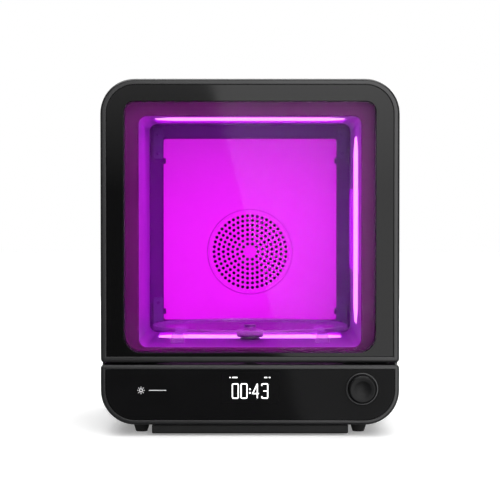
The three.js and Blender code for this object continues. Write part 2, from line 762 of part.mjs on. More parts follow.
// Room for one hinge arm through the door's whole swing, and holes for the ends of its pin.
function hingeSlot(z) {
  const half = HINGE_ARM_THICKNESS / 2 + 0.4;
  const reach = HINGE_PIN_REACH + 0.5;
  return join(
    block(
      [-halfWidth - 1, hinge.y - HINGE_ARM_HALF - 1.2, z - half],
      [hinge.x + HINGE_ARM_HALF + 0.4, doorBackY + 1, z + half],
    ),
    rod("z", [hinge.x, hinge.y], HINGE_PIN_RADIUS + 0.4, z - reach, z + reach, { sides: 16 }),
  );
}

function addDoor() {
  const panelBack = frontY + PANEL_DEPTH;
  const paneBack = panelBack + PANE_DEPTH;
  const paneOutline = inset(windowOutline, -PANE_LAP);
  const strike = centred(MAGNET.x, MAGNET.z, MAGNET.width + 1, MAGNET.height + 2, 0.6);

  const frame = cut(
    doorBlank(),
    plate(inset(doorOutline, DOOR_RIM), frontY - 1, panelBack, 4),
    plate(inset(paneOutline, -GAP), frontY, paneBack),
    plate(windowOutline, frontY, doorBackY + 1),
    plate(inset(strike, -GAP), doorBackY - 2, doorBackY + 1, 1),
    ...hingePlates.map(([, z]) => hingeSlot(z)),
  );
  add("door_frame", frame, PAINTED);

  const panel = ringPlate(
    inset(doorOutline, DOOR_RIM + GAP),
    windowOutline,
    frontY + GAP,
    panelBack - GAP,
    4,
  );
  add("door_panel", panel, GLOSS_BLACK);
  add("door_window", plate(paneOutline, panelBack, paneBack - GAP), CLEAR);
  add("strike_plate", plate(strike, doorBackY - 2 + GAP, doorBackY - GAP, 1), STEEL);
}

// ---------------------------------------------------------------- assembly

addShell();
addRearCover();
addFrontFrame();
addHingeArms();
addLiner();
addLampUnits();
addBackWall();
addTurntable();
addFan("circulation", { x: 0, z: FAN_HEIGHT, half: 46 }, chamberBackY + LINER_WALL + GAP, 25);
addFan("cooling", COOLING_FAN, shellBackY - 20.3, 20);
addHeater();
addElectrics();
addInlet();
addPowerSwitch();
addControlUnit();
addDoor();

export default object;
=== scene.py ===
"""Looks of the resin curing station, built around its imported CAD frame, in metres with +Z up."""

import json
import math
from contextlib import contextmanager
from dataclasses import dataclass

import bmesh
import bpy
from mathutils import Matrix, Vector


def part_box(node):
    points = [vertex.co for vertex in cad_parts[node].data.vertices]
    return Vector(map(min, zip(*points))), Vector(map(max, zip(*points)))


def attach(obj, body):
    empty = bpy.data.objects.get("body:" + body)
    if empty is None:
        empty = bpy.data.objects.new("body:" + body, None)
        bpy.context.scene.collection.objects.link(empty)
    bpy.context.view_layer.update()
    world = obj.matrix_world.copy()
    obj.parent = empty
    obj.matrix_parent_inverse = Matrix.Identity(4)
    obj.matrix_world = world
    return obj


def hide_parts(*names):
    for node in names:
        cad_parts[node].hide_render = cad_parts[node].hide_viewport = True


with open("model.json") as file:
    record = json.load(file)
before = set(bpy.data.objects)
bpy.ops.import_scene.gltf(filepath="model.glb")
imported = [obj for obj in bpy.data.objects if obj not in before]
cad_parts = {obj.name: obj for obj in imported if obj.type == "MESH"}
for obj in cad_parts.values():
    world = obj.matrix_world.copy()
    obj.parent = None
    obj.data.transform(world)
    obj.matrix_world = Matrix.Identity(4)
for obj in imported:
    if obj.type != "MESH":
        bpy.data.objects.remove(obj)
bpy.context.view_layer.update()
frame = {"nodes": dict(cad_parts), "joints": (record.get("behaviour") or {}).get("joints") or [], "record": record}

MM = 0.001
BODY_OF = {
    node: body
    for body, nodes in frame["record"]["behaviour"]["bodies"].items()
    for node in nodes
}


# ---------------------------------------------------------------- mesh helpers

CORNER_STEPS = 14


@dataclass(frozen=True)
class Outline:
    """A rounded rectangle seen from the front: X to the right, Z up."""

    left: float
    right: float
    bottom: float
    top: float
    top_radius: float
    bottom_radius: float

    def inset(self, margin):
        least = 0.4 * MM
        return Outline(
            self.left + margin,
            self.right - margin,
            self.bottom + margin,
            self.top - margin,
            max(self.top_radius - margin, least),
            max(self.bottom_radius - margin, least),
        )

    def points(self, steps=CORNER_STEPS):
        """Anticlockwise from the bottom right corner, the same number for every outline."""
        low, high = self.bottom_radius, self.top_radius
        corners = [
            (self.right - low, self.bottom + low, low, -0.5),
            (self.right - high, self.top - high, high, 0.0),
            (self.left + high, self.top - high, high, 0.5),
            (self.left + low, self.bottom + low, low, 1.0),
        ]
        loop = []
        for x, z, radius, start in corners:
            for step in range(steps + 1):
                angle = math.pi * (start + 0.5 * step / steps)
                loop.append((x + radius * math.cos(angle), z + radius * math.sin(angle)))
        return loop


def outline_of(node, top_radius, bottom_radius=None):
    low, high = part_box(node)
    if bottom_radius is None:
        bottom_radius = top_radius
    return Outline(low[0], high[0], low[2], high[2], top_radius, bottom_radius)


def centre_of(node):
    low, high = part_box(node)
    return tuple((first + last) / 2 for first, last in zip(low, high))


def rectangle(x, z, width, height, radius):
    return Outline(x - width / 2, x + width / 2, z - height / 2, z + height / 2, radius, radius)


def smooth(mesh, degrees=32):
    for face in mesh.polygons:
        face.use_smooth = True
    mesh.set_sharp_from_angle(angle=math.radians(degrees))


def add_object(name, mesh):
    piece = bpy.data.objects.new(name, mesh)
    bpy.context.scene.collection.objects.link(piece)
    return piece


@contextmanager
def editing(mesh):
    work = bmesh.new()
    work.from_mesh(mesh)
    yield work
    work.to_mesh(mesh)
    work.free()


def mesh_from(name, verts, faces):
    mesh = bpy.data.meshes.new(name)
    mesh.from_pydata(verts, [], faces)
    with editing(mesh) as work:
        bmesh.ops.remove_doubles(work, verts=work.verts, dist=1e-6)
        bmesh.ops.recalc_face_normals(work, faces=work.faces)
    return mesh


def mesh_of_curve(name, curve):
    """The filled or bevelled surface of a curve, as a mesh without materials."""
    source = bpy.data.objects.new(name + "_curve", curve)
    bpy.context.scene.collection.objects.link(source)
    graph = bpy.context.evaluated_depsgraph_get()
    mesh = bpy.data.meshes.new_from_object(source.evaluated_get(graph))
    bpy.data.objects.remove(source)
    mesh.name = name
    mesh.materials.clear()
    return mesh


def finish_piece(piece, body, material, stands_for=()):
    """Shades a piece, gives it its material, ties it to its body and hides the CAD nodes it stands for."""
    smooth(piece.data)
    if not any(m.type == "WEIGHTED_NORMAL" for m in piece.modifiers):
        weighted = piece.modifiers.new("weighted", "WEIGHTED_NORMAL")
        weighted.keep_sharp = True
    piece.data.materials.clear()
    piece.data.materials.append(material)
    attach(piece, body)
    if stands_for:
        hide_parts(*stands_for)
    return piece


def stand_in(piece, node, material):
    return finish_piece(piece, BODY_OF[node], material, (node,))


def sweep(name, rings, closed=True):
    """Joins outlines at successive depths. A closed sweep ends where it starts, an open one has two caps."""
    count = len(rings[0][0])
    verts = [(x, y, z) for loop, y in rings for x, z in loop]
    faces = []
    spans = len(rings) if closed else len(rings) - 1
    for ring in range(spans):
        here = ring * count
        there = ((ring + 1) % len(rings)) * count
        for i in range(count):
            j = (i + 1) % count
            faces.append((here + i, here + j, there + j, there + i))
    if not closed:
        faces.append(tuple(range(count)))
        faces.append(tuple(range((len(rings) - 1) * count, len(rings) * count)))
    return add_object(name, mesh_from(name, verts, faces))


def quarter(outline, margin, y, radius, turn, steps=5):
    """Rings that round an edge: turn gives the signs of the move inward and of the move along Y."""
    inward, along = turn
    rings = []
    for step in range(steps + 1):
        angle = 0.5 * math.pi * step / steps
        shift = margin + inward * radius * (1 - math.cos(angle))
        rings.append((outline.inset(shift).points(), y + along * radius * math.sin(angle)))
    return rings


def slab_rings(outline, front, back, front_radius, back_radius):
    """Rings of a plate's outer edge from front to back, with both edges rounded."""
    front_arc = quarter(outline, 0, front + front_radius, front_radius, (1, -1))
    back_arc = quarter(outline, 0, back - back_radius, back_radius, (1, 1))
    return front_arc[::-1] + back_arc


def ring_plate(name, outer, inner, front, back, outer_radius, inner_radius):
    """A plate with one opening, all four of its long edges rounded."""
    outside = slab_rings(outer, front, back, outer_radius, outer_radius)
    inside_back = quarter(inner, 0, back - inner_radius, inner_radius, (-1, 1))
    inside_front = quarter(inner, 0, front + inner_radius, inner_radius, (-1, -1))
    return sweep(name, outside + inside_back[::-1] + inside_front)


def lathe(name, profile, centre, axis="z", steps=96):
    """Turns a profile of (radius, height) points about an axis through centre."""
    verts, faces = [], []
    for i in range(steps):
        angle = 2 * math.pi * i / steps
        across, up = math.cos(angle), math.sin(angle)
        for radius, height in profile:
            if axis == "z":
                verts.append((centre[0] + radius * across, centre[1] + radius * up, height))
            else:
                verts.append((centre[0] + radius * across, height, centre[2] + radius * up))
    count = len(profile)
    for i in range(steps):
        j = (i + 1) % steps
        for k in range(count - 1):
            faces.append((i * count + k, j * count + k, j * count + k + 1, i * count + k + 1))
    return add_object(name, mesh_from(name, verts, faces))


def rounded(points, radius, steps=4):
    """A profile whose inner corners are rounded, apart from its two ends."""
    result = [points[0]]
    for before, corner, after in zip(points, points[1:], points[2:]):
        here = Vector(corner)
        back = Vector(before) - here
        ahead = Vector(after) - here
        cut = min(radius, 0.45 * back.length, 0.45 * ahead.length)
        start = here + back.normalized() * cut
        end = here + ahead.normalized() * cut
        for step in range(steps + 1):
            t = step / steps
            point = start * (1 - t) ** 2 + here * 2 * t * (1 - t) + end * t**2
            result.append(tuple(point))
    result.append(points[-1])
    return result


def circle_points(x, z, radius, steps=24):
    """Points round a circle, in whichever plane its two coordinates stand for."""
    return [
        (x + radius * math.cos(2 * math.pi * i / steps), z + radius * math.sin(2 * math.pi * i / steps))
        for i in range(steps)
    ]


def pierced_plate(name, outline, holes, front, back, bevel):
    """A flat plate with holes through it and a small round on every edge, facing -Y."""
    curve = bpy.data.curves.new(name, "CURVE")
    curve.dimensions = "2D"
    curve.fill_mode = "BOTH"
    curve.extrude = (back - front) / 2 - bevel
    curve.bevel_depth = bevel
    curve.bevel_resolution = 2
    curve.offset = -bevel
    for loop in [outline, *holes]:
        spline = curve.splines.new("POLY")
        spline.points.add(len(loop) - 1)
        spline.use_cyclic_u = True
        for point, (x, z) in zip(spline.points, loop):
            point.co = (x, z, 0, 1)
    mesh = mesh_of_curve(name, curve)
    mesh.transform(Matrix.Translation((0, (front + back) / 2, 0)) @ Matrix.Rotation(math.pi / 2, 4, "X"))
    with editing(mesh) as work:
        bmesh.ops.remove_doubles(work, verts=work.verts, dist=2e-6)
        bmesh.ops.recalc_face_normals(work, faces=work.faces)
    return add_object(name, mesh)


def carve(piece, *tools):
    """Cuts the tools out of a piece, and removes them."""
    for tool in tools:
        cutter = piece.modifiers.new("cut", "BOOLEAN")
        cutter.operation = "DIFFERENCE"
        cutter.solver = "EXACT"
        cutter.object = tool
    graph = bpy.context.evaluated_depsgraph_get()
    carved = bpy.data.meshes.new_from_object(piece.evaluated_get(graph))
    piece.modifiers.clear()
    piece.data = carved
    for tool in tools:
        bpy.data.objects.remove(tool)
    return piece


def prism(name, points, low, high):
    """An upright prism on a floor plan of (x, y) points."""
    count = len(points)
    verts = [(x, y, low) for x, y in points] + [(x, y, high) for x, y in points]
    faces = [(i, (i + 1) % count, count + (i + 1) % count, count + i) for i in range(count)]
    faces += [tuple(range(count)), tuple(range(count, 2 * count))]
    return add_object(name, mesh_from(name, verts, faces))


def block(name, low, high):
    plan = [(low[0], low[1]), (high[0], low[1]), (high[0], high[1]), (low[0], high[1])]
    return prism(name, plan, low[2], high[2])


def bevelled(piece, width):
    bevel = piece.modifiers.new("edges", "BEVEL")
    bevel.width = width
    bevel.segments = 3
    bevel.limit_method = "ANGLE"
    bevel.angle_limit = math.radians(34)
    bevel.harden_normals = True
    return piece


def refined(node, width):
    """A copy of a CAD node's shape with its seams merged and its edges rounded."""
    mesh = frame["nodes"][node].data.copy()
    with editing(mesh) as work:
        bmesh.ops.remove_doubles(work, verts=work.verts, dist=1e-5)
        bmesh.ops.dissolve_limit(work, angle_limit=math.radians(0.5), verts=work.verts, edges=work.edges)
    return bevelled(add_object(node + "_shaped", mesh), width)


# ---------------------------------------------------------------- materials


def new_material(name):
    material = bpy.data.materials.new(name)
    material.use_nodes = True
    tree = material.node_tree
    return material, tree, tree.nodes["Principled BSDF"]


def noise(tree, scale, detail=4.0, roughness=0.55, stretch=(1, 1, 1)):
    """Noise in the object's own metres, so its grain has one size all over."""
    coords = tree.nodes.new("ShaderNodeTexCoord")
    mapping = tree.nodes.new("ShaderNodeMapping")
    mapping.inputs["Scale"].default_value = stretch
    texture = tree.nodes.new("ShaderNodeTexNoise")
    texture.inputs["Scale"].default_value = scale
    texture.inputs["Detail"].default_value = detail
    texture.inputs["Roughness"].default_value = roughness
    tree.links.new(coords.outputs["Object"], mapping.inputs["Vector"])
    tree.links.new(mapping.outputs["Vector"], texture.inputs["Vector"])
    return texture.outputs["Fac"]


def spread(tree, value, low, high):
    """Maps a noise of about 0.3 to 0.7 onto a range."""
    node = tree.nodes.new("ShaderNodeMapRange")
    node.inputs["From Min"].default_value = 0.3
    node.inputs["From Max"].default_value = 0.7
    node.inputs["To Min"].default_value = low
    node.inputs["To Max"].default_value = high
    tree.links.new(value, node.inputs["Value"])
    return node.outputs["Result"]


def blend_colours(tree, value, first, second):
    ramp = tree.nodes.new("ShaderNodeValToRGB")
    ramp.color_ramp.elements[0].position = 0.3
    ramp.color_ramp.elements[0].color = (*first, 1)
    ramp.color_ramp.elements[1].position = 0.7
    ramp.color_ramp.elements[1].color = (*second, 1)
    tree.links.new(value, ramp.inputs["Fac"])
    return ramp.outputs["Color"]


def add_bump(tree, shader, value, strength, distance):
    bump = tree.nodes.new("ShaderNodeBump")
    bump.inputs["Strength"].default_value = strength
    bump.inputs["Distance"].default_value = distance
    tree.links.new(value, bump.inputs["Height"])
    tree.links.new(bump.outputs["Normal"], shader.inputs["Normal"])


def grained(name, dark, light, roughness, grain, metallic=0.0, specular=0.5, stretch=(1, 1, 1), bump=0.15):
    """A moulded, painted or brushed surface: mottled colour, uneven gloss and a fine grain."""
    material, tree, shader = new_material(name)
    mottle = noise(tree, 18, 3)
    fine = noise(tree, grain, 5, 0.6, stretch)
    tree.links.new(blend_colours(tree, mottle, dark, light), shader.inputs["Base Color"])
    tree.links.new(spread(tree, fine, *roughness), shader.inputs["Roughness"])
    shader.inputs["Metallic"].default_value = metallic
    shader.inputs["Specular IOR Level"].default_value = specular
    add_bump(tree, shader, fine, bump, 0.0002)
    return material


def gloss_black(name, specular):
    """Black-backed glass: a deep black with faint wipe marks in its gloss."""
    material, tree, shader = new_material(name)
    smear = noise(tree, 9, 6, 0.7, (1, 1, 2.4))
    dust = noise(tree, 700, 2)
    tree.links.new(blend_colours(tree, dust, (0.0011, 0.0011, 0.0012), (0.0017, 0.0017, 0.0018)),
                   shader.inputs["Base Color"])
    tree.links.new(spread(tree, smear, 0.03, 0.075), shader.inputs["Roughness"])
    shader.inputs["Specular IOR Level"].default_value = specular
    add_bump(tree, shader, noise(tree, 14, 1), 0.02, 0.0004)
    return material


def clear_plastic(name, colour, alpha, roughness):
    """See-through plastic with a faint, uneven haze."""
    material, tree, shader = new_material(name)
    haze = noise(tree, 60, 4)
    tree.links.new(blend_colours(tree, haze, tuple(0.85 * c for c in colour), colour),
                   shader.inputs["Base Color"])
    tree.links.new(spread(tree, haze, *roughness), shader.inputs["Roughness"])
    shader.inputs["Alpha"].default_value = alpha
    shader.inputs["IOR"].default_value = 1.49
    return material


def tinted_glass(name, colour):
    """A clear pane whose tint deepens with each face the light goes through."""
    material, tree, shader = new_material(name)
    haze = noise(tree, 25, 3)
    tree.links.new(blend_colours(tree, haze, tuple(0.985 * c for c in colour), colour),
                   shader.inputs["Base Color"])
    tree.links.new(spread(tree, haze, 0.0, 0.004), shader.inputs["Roughness"])
    shader.inputs["Transmission Weight"].default_value = 1.0
    shader.inputs["IOR"].default_value = 1.10
    return material


def glowing(name, base, colour, strength):
    """A frosted surface that gives off its own light."""
    material, tree, shader = new_material(name)
    frost = noise(tree, 900, 3)
    frosted = blend_colours(tree, frost, tuple(0.9 * c for c in base), base)
    tree.links.new(frosted, shader.inputs["Base Color"])
    tree.links.new(spread(tree, frost, 0.2, 0.4), shader.inputs["Roughness"])
    shader.inputs["Specular IOR Level"].default_value = 0.08
    shader.inputs["Emission Color"].default_value = (*colour, 1)
    shader.inputs["Emission Strength"].default_value = strength
    return material


PAINT = grained("satin_paint", (0.019, 0.019, 0.020), (0.024, 0.024, 0.026), (0.30, 0.42), 1400,
                specular=0.28)
RIM_PAINT = grained("rim_paint", (0.0075, 0.0075, 0.008), (0.0105, 0.0105, 0.011), (0.26, 0.36), 1600,
                    specular=0.25)
BLACK_GLASS = gloss_black("black_glass", 0.12)
FASCIA_BLACK = grained("fascia_black", (0.0032, 0.0032, 0.0034), (0.0042, 0.0042, 0.0044), (0.04, 0.08), 1800,
                       specular=0.025, bump=0.01)
SATIN_BLACK = grained("satin_black", (0.0025, 0.0025, 0.0027), (0.004, 0.004, 0.0043), (0.34, 0.46), 2200,
                      specular=0.10)
MOULDED = grained("moulded_black", (0.012, 0.012, 0.012), (0.020, 0.020, 0.021), (0.48, 0.62), 900, bump=0.3)
# Partly painted shadow: a near-black case colour for the gearmotor and the power supply, and for the base pan,
# whose dark front between the feet stands in for the shadow under the body.
UNDERBODY_AND_PAINTED_SHADOW = grained("underbody_and_painted_shadow", (0.0035, 0.0035, 0.0036), (0.0055, 0.0055, 0.0057), (0.5, 0.65), 900,
                    specular=0.15, bump=0.3)
RUBBER = grained("rubber", (0.010, 0.010, 0.010), (0.017, 0.017, 0.017), (0.7, 0.9), 1200,
                 specular=0.25, bump=0.3)
# Painted light: the chamber walls are pale, and this magenta is the violet of the chamber lamps painted into their
# colour.
CHAMBER_PAINTED_VIOLET_LIGHT = grained("chamber_painted_violet_light", (0.36, 0.018, 0.48), (0.43, 0.024, 0.55), (0.30, 0.42), 500,
                        specular=0.10, bump=0.04)
# Painted light: a dark colour tinted violet with painted chamber light, for the chamber back, the air heater and
# the bracket screws.
BACK_PAINTED_VIOLET_LIGHT = grained("back_painted_violet_light", (0.105, 0.002, 0.17), (0.13, 0.003, 0.20), (0.40, 0.52), 900,
                     specular=0.03, bump=0.06)
# Painted light: a dark bracket colour tinted violet with painted chamber light.
BRACKET_PAINTED_VIOLET_LIGHT = grained("bracket_painted_violet_light", (0.12, 0.008, 0.20), (0.15, 0.011, 0.24), (0.36, 0.48), 900,
                        specular=0.08, bump=0.06)
# Painted light: a dark colour for the front frame, tinted magenta with painted chamber light.
FRAME_PAINTED_VIOLET_LIGHT = grained("frame_painted_violet_light", (0.095, 0.003, 0.092), (0.115, 0.005, 0.112), (0.38, 0.5), 900,
                      specular=0.03, bump=0.06)
# Painted light: the rear reflector and the fan grille give off their own violet glow, though neither is a lamp.
PAINTED_GLOW_SHEET = glowing("painted_glow_sheet", (0.66, 0.004, 0.66), (0.80, 0.0, 0.92), 0.20)
STEEL = grained("brushed_steel", (0.42, 0.42, 0.43), (0.56, 0.56, 0.57), (0.22, 0.38), 700, 1.0,
                stretch=(14, 1, 1), bump=0.08)
ALUMINIUM = grained("aluminium", (0.55, 0.55, 0.57), (0.68, 0.68, 0.70), (0.28, 0.42), 600, 1.0,
                    stretch=(1, 10, 1), bump=0.08)
BRASS = grained("brass", (0.46, 0.33, 0.13), (0.62, 0.46, 0.20), (0.22, 0.4), 500, 1.0)
DARK_TRIM = grained("dark_trim", (0.009, 0.009, 0.010), (0.014, 0.014, 0.015), (0.18, 0.26), 800,
                    metallic=0.2, specular=0.3, bump=0.03)
SOLDER_MASK = grained("solder_mask", (0.008, 0.055, 0.026), (0.014, 0.09, 0.045), (0.3, 0.5), 260)
HUB_ANODISED = grained("hub_anodised", (0.10, 0.02, 0.15), (0.15, 0.03, 0.21), (0.24, 0.36), 600, 0.2, 0.2)
# Painted light: the clear turntable and its posts take the violet of the chamber lamps as their colour.
ACRYLIC_PAINTED_VIOLET_LIGHT = clear_plastic("clear_acrylic", (0.46, 0.05, 0.60), 0.30, (0.05, 0.12))
WINDOW_GLASS = tinted_glass("window_glass", (0.97, 0.92, 0.98))
LIT_LENS = glowing("lit_lens", (0.95, 0.80, 0.98), (1.0, 0.32, 1.1), 1.15)
DIGIT_GLOW = glowing("digit_glow", (0.9, 0.9, 0.9), (1.0, 1.0, 1.0), 1.0)
PRINT_GREY = grained("print_grey", (0.50, 0.50, 0.51), (0.60, 0.60, 0.61), (0.4, 0.5), 1500)


# ---------------------------------------------------------------- cabinet

BODY_RADIUS = 33 * MM
EDGE = 1.2 * MM


def make_shell():
    low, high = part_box("outer_shell")
    outer = outline_of("outer_shell", BODY_RADIUS)
    wall = 2.5 * MM
    shell = ring_plate("outer_shell_skin", outer, outer.inset(wall), low[1], high[1], EDGE, 0.5 * MM)
    stand_in(shell, "outer_shell", PAINT)


def slot_points(x, z, width, height):
    return rectangle(x, z, width, height, 0.499 * height).points(6)


def vent_stack(x, z, width, count, pitch):
    height = 4 * MM
    return [slot_points(x, z + (i - (count - 1) / 2) * pitch, width, height) for i in range(count)]


def make_rear_cover():
    low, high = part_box("rear_cover")
    inlet_x, _, inlet_z = centre_of("power_inlet")
    switch_x, _, switch_z = centre_of("power_switch_frame")
    fan_x, _, fan_z = centre_of("cooling_fan_housing")
    holes = [
        rectangle(inlet_x, inlet_z, 28 * MM, 22 * MM, 1 * MM).points(4),
        rectangle(switch_x, switch_z, 13.4 * MM, 19.4 * MM, 1 * MM).points(4),
        *vent_stack(fan_x, fan_z, 46 * MM, 6, 8 * MM),
        *vent_stack(70 * MM, 100 * MM, 90 * MM, 5, 9 * MM),
    ]
    outline = outline_of("rear_cover", BODY_RADIUS).points(20)
    cover = pierced_plate("rear_cover_skin", outline, holes, low[1], high[1], 0.6 * MM)
    stand_in(cover, "rear_cover", PAINT)
    make_rear_screws(high[1])


def make_rear_screws(face):
    """Pan-head screws with a cross recess, round the edge of the rear cover."""
    beside_inlet = (128, 62)
    places = [(-118, 46), (-118, 176), (-118, 306), beside_inlet, (118, 176), (118, 306), (0, 24), (0, 328)]
    for number, (x, z) in enumerate(places, 1):
        x, z = x * MM, z * MM
        profile = [(0, face + 2.0 * MM), (1.8 * MM, face + 1.85 * MM), (3.1 * MM, face + 1.1 * MM),
                   (3.5 * MM, face + 0.2 * MM), (3.5 * MM, face), (0, face)]
        screw = lathe(f"rear_screw_{number}", rounded(profile, 0.3 * MM, 2), (x, 0, z), "y", 32)
        tools = []
        for across, up in ((2.2, 0.45), (0.45, 2.2)):
            tools.append(block(
                "screw_slot",
                (x - across * MM, face + 0.9 * MM, z - up * MM),
                (x + across * MM, face + 3 * MM, z + up * MM),
            ))
        carve(screw, *tools)
        finish_piece(screw, "cabinet", STEEL)


def make_underside():
    # Painted shadow: the dark base pan fills the gap under the body down to the floor, standing in for the shadow
    # there.
    pan = refined("base_pan", 1.2 * MM)
    stand_in(pan, "base_pan", UNDERBODY_AND_PAINTED_SHADOW)
    for number in range(1, 5):
        node = f"foot_{number}"
        low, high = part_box(node)
        top = (high[0] - low[0]) / 2
        profile = [(0, 0), (5.6 * MM, 0), (7.6 * MM, high[2] * 0.62), (top, high[2] * 0.8), (top, high[2]),
                   (0, high[2])]
        stand_in(lathe(f"{node}_shaped", rounded(profile, 0.8 * MM), centre_of(node)), node, RUBBER)


# ---------------------------------------------------------------- chamber

CHAMBER_RADIUS = 8 * MM
LINER_WALL = 2 * MM
SHAFT_HOLE_RADIUS = 7.8 * MM
FAN_HOLE_RADIUS = 42 * MM


def chamber_outline():
    return outline_of("chamber_liner", CHAMBER_RADIUS + LINER_WALL).inset(LINER_WALL)


def make_front_frame():
    low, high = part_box("front_frame")
    outer = outline_of("front_frame", BODY_RADIUS - 2.8 * MM, 1 * MM)
    opening = chamber_outline()
    front_frame = ring_plate("front_frame_skin", outer, opening, low[1], high[1], 0.4 * MM, 1.6 * MM)
    stand_in(front_frame, "front_frame", FRAME_PAINTED_VIOLET_LIGHT)

    low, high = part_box("chamber_gasket")
    outer = outline_of("chamber_gasket", 14 * MM)
    seal = ring_plate("gasket_ring", outer, outer.inset(4.5 * MM), low[1], high[1], 0.6 * MM, 0.6 * MM)
    stand_in(seal, "chamber_gasket", RUBBER)


def make_liner():
    low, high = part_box("chamber_liner")
    inner = chamber_outline()
    outer = inner.inset(-LINER_WALL)
    liner = ring_plate("chamber_liner_skin", outer, inner, low[1], high[1], 0.5 * MM, 0.5 * MM)
    turntable_x, turntable_y, _ = centre_of("turntable_disc")
    shaft_hole = circle_points(turntable_x, turntable_y, SHAFT_HOLE_RADIUS, 48)
    tools = [window_tool(name) for name in ("top", "side", "floor")]
    tools.append(prism("shaft_hole", shaft_hole, low[2] - LINER_WALL, low[2] + 2 * LINER_WALL))
    stand_in(carve(liner, *tools), "chamber_liner", CHAMBER_PAINTED_VIOLET_LIGHT)

    low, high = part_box("chamber_back")
    x, _, z = centre_of("fan_grille")
    fan_hole = circle_points(x, z, FAN_HOLE_RADIUS, 96)
    back = pierced_plate("chamber_back_sheet", outer.points(), [fan_hole], low[1], high[1], 0.3 * MM)
    stand_in(back, "chamber_back", BACK_PAINTED_VIOLET_LIGHT)


def window_tool(name):
    """The opening of a light window, a little larger than its lens and deeper than the wall."""
    mesh = frame["nodes"][f"light_window_{name}"].data.copy()
    with editing(mesh) as work:
        bmesh.ops.remove_doubles(work, verts=work.verts, dist=1e-5)
    low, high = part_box(f"light_window_{name}")
    middle = (Vector(low) + Vector(high)) / 2
    size = Vector(high) - Vector(low)
    thin = min(range(3), key=lambda i: size[i])
    gap = 0.3 * MM
    scale = [3.0 if i == thin else 1 + 2 * gap / size[i] for i in range(3)]
    stretch = Matrix.Diagonal((*scale, 1))
    mesh.transform(Matrix.Translation(middle) @ stretch @ Matrix.Translation(-middle))
    return add_object("window_tool", mesh)


def make_lamps():
    for name in ("top", "side", "floor"):
        stand_in(refined(f"light_window_{name}", 0.6 * MM), f"light_window_{name}", LIT_LENS)
        stand_in(refined(f"led_board_{name}", 0.15 * MM), f"led_board_{name}", SOLDER_MASK)
    for name in ("top", "side"):
        stand_in(refined(f"heat_sink_{name}", 0.25 * MM), f"heat_sink_{name}", ALUMINIUM)


def grille_holes(x, z):
    """Seven rings of round holes."""
    counts = (10, 16, 22, 28, 34, 40, 46)
    first, pitch, radius = 8.6 * MM, 5 * MM, 1.75 * MM
    holes = []
    for ring, count in enumerate(counts):
        reach = first + ring * pitch
        for i in range(count):
            angle = 2 * math.pi * (i + 0.5 * (ring % 2)) / count
            holes.append(circle_points(x + reach * math.cos(angle), z + reach * math.sin(angle), radius, 14))
    return holes


def make_back_wall():
    # The grille, its rim and the reflector sheet get a painted glow: they give off violet light, though none of
    # them is a lamp.
    low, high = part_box("fan_grille")
    x, _, z = centre_of("fan_grille")
    radius = (high[0] - low[0]) / 2
    disc = circle_points(x, z, radius, 96)
    grille = pierced_plate("fan_grille_disc", disc, grille_holes(x, z), low[1] + 0.6 * MM, high[1], 0.25 * MM)
    stand_in(grille, "fan_grille", PAINTED_GLOW_SHEET)

    crest, foot = low[1], low[1] + 0.7 * MM
    rim_profile = [(radius - 2.2 * MM, foot), (radius - 1.9 * MM, crest), (radius - 0.5 * MM, crest),
                   (radius - 0.2 * MM, foot), (radius - 2.2 * MM, foot)]
    rim = lathe("fan_grille_rim", rounded(rim_profile, 0.2 * MM, 3), (x, 0, z), "y", 96)
    finish_piece(rim, "cabinet", PAINTED_GLOW_SHEET)

    low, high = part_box("rear_reflector")
    outline = outline_of("rear_reflector", 3 * MM)
    holes = [circle_points(x, z, radius + 0.3 * MM, 96)]
    sheet = pierced_plate("rear_reflector_sheet", outline.points(6), holes, low[1], high[1], 0.3 * MM)
    notches = []
    for edge in (outline.left, outline.right):
        for height in (outline.top - 23.7 * MM, outline.bottom + 9 * MM):
            notches.append(block(
                "notch",
                (edge - 2.5 * MM, low[1] - 1 * MM, height - 3 * MM),
                (edge + 2.5 * MM, high[1] + 1 * MM, height + 3 * MM),
            ))
    stand_in(carve(sheet, *notches), "rear_reflector", PAINTED_GLOW_SHEET)
    for number in range(1, 5):
        node = f"corner_bracket_{number}"
        stand_in(refined(node, 0.4 * MM), node, BRACKET_PAINTED_VIOLET_LIGHT)
        make_wall_screws(node, number)


def make_wall_screws(node, bracket):
    low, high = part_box(node)
    x, _, _ = centre_of(node)
    for end, z in enumerate((low[2] + 6 * MM, high[2] - 6 * MM), 1):
        profile = [(0, low[1] - 0.7 * MM), (1.0 * MM, low[1] - 0.65 * MM), (1.6 * MM, low[1] - 0.3 * MM),
                   (1.7 * MM, low[1]), (0, low[1])]
        screw = lathe(f"bracket_screw_{bracket}_{end}", rounded(profile, 0.2 * MM, 2), (x, 0, z), "y", 24)
        finish_piece(screw, "cabinet", BACK_PAINTED_VIOLET_LIGHT)


# ---------------------------------------------------------------- turntable


